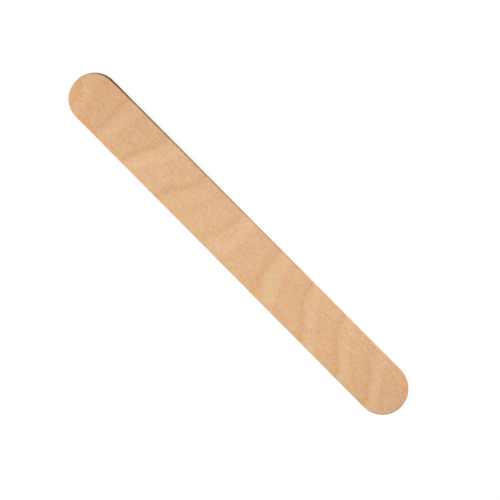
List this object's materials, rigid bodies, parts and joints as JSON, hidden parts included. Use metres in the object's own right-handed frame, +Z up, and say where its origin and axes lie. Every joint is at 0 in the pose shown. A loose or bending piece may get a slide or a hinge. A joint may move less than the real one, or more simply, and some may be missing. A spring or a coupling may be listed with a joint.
{
  "type": "tongue depressor",
  "caption": "Flat wooden blade with straight parallel sides, full-round ends and eased edges, for holding down the tongue in an examination of the throat.",
  "frame": {"origin": "middle of the flat face that the blade lies on", "axes": "+X along the blade, +Y across it, +Z up out of its upper face"},
  "size_m": [0.1524, 0.0176, 0.0016],
  "materials": {
    "birch": "matte"
  },
  "bodies": {
    "root": {"tongue_blade": "birch"}
  },
  "joints": []
}
